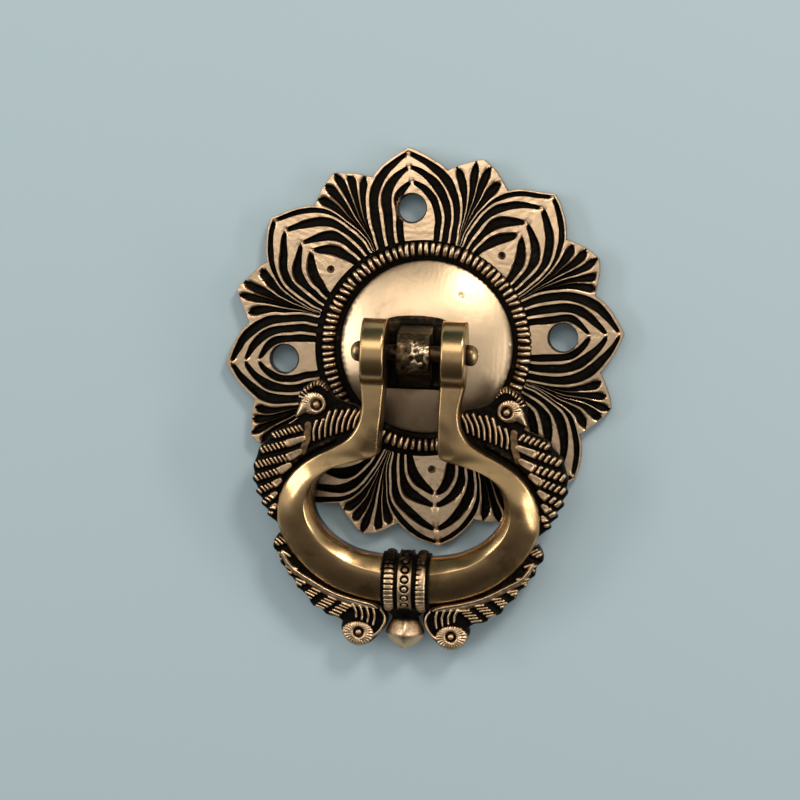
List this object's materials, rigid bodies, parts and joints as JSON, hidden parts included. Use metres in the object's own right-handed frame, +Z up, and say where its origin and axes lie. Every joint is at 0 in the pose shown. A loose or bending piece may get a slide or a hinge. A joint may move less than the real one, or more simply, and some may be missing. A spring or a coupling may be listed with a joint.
{
  "type": "door knocker",
  "caption": "Cast brass ring knocker hinged on a lotus rosette, its bow carried by peacocks and small birds, with a banded striker.",
  "frame": {"origin": "centre of the rosette's flat back face, on the door's surface", "axes": "+Z up the door, +X to the right seen from the front, -Y out of the door towards the visitor"},
  "size_m": [0.1016, 0.0277, 0.1276],
  "materials": {
    "antique_brass": "antiqued cast brass, black in the recesses and worn bright on the ridges",
    "satin_brass": "satin, finely brushed",
    "bronze_brass": "polished, bronze toned",
    "dark_brass": "rough as-cast, dark patina",
    "plated_steel": "zinc plated"
  },
  "bodies": {
    "plate": {"backplate": "antique_brass", "ribbed_ring": "antique_brass", "centre_boss": "satin_brass", "hinge_post": "dark_brass", "post_washer": "plated_steel", "post_nut": "plated_steel"},
    "knocker": {"knocker_bow": "bronze_brass", "peacock_left": "antique_brass", "peacock_right": "antique_brass", "small_bird_left": "antique_brass", "small_bird_right": "antique_brass", "collar_left_band": "antique_brass", "collar_beaded_band": "antique_brass", "collar_right_band": "antique_brass", "finial": "antique_brass", "hinge_pin": "bronze_brass"}
  },
  "joints": [
    {"name": "knocker_swing", "type": "hinge", "parent": "plate", "child": "knocker", "pos_m": [-0.0016, -0.0194, -0.0008], "axis": [-1, 0, 0], "range_deg": [0, 200]}
  ]
}
